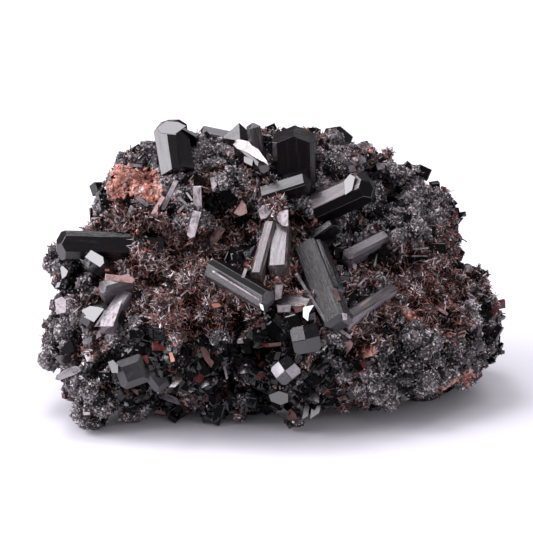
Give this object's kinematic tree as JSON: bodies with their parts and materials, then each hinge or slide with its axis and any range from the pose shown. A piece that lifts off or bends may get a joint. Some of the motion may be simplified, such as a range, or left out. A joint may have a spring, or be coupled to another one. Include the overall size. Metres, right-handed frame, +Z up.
{
  "type": "manganvesuvianite crystal",
  "caption": "Cluster of black tetragonal prisms with pyramid ends, lying and standing in all directions on a rough, druse-coated lump of matrix that rests on its flat foot.",
  "frame": {"origin": "middle of the specimen's footprint at floor level", "axes": "+X to the right as seen from the show side, +Y to the back of the specimen, away from its show side, +Z up"},
  "size_m": [0.061, 0.0442, 0.0369],
  "materials": {
    "matrix": "rough, crumbly druse in dark grey, black and dull red-brown",
    "crystal": "black with a faint red-brown tint, glassy, striated along its length"
  },
  "bodies": {
    "root": {"matrix": "matrix", "tall_crystal": "crystal", "top_left_crystal": "crystal", "tucked_crystal": "crystal", "lying_crystal": "crystal", "pointed_crystal": "crystal", "leaning_crystal": "crystal", "bright_crystal": "crystal", "crossbar_crystal": "crystal", "upper_right_crystal": "crystal", "thin_edged_crystal": "crystal", "right_block_crystal": "crystal", "centre_pair_crystals": "crystal", "striated_crystal": "crystal", "crossing_crystals": "crystal", "left_centre_crystal": "crystal", "lower_right_crystal": "crystal", "long_left_crystal": "crystal", "small_left_crystal": "crystal", "plate_crystals": "crystal", "wedge_crystal": "crystal", "dull_crystals": "crystal", "diamond_crystal": "crystal", "grey_point_crystal": "crystal", "back_tall_crystal": "crystal", "back_long_crystal": "crystal", "back_block_crystal": "crystal", "back_pair_crystals": "crystal", "back_low_crystal": "crystal", "back_corner_crystal": "crystal", "back_top_crystal": "crystal", "back_crown_crystal": "crystal", "left_side_crystal": "crystal", "right_side_crystal": "crystal", "back_foot_crystal": "crystal"}
  },
  "joints": []
}
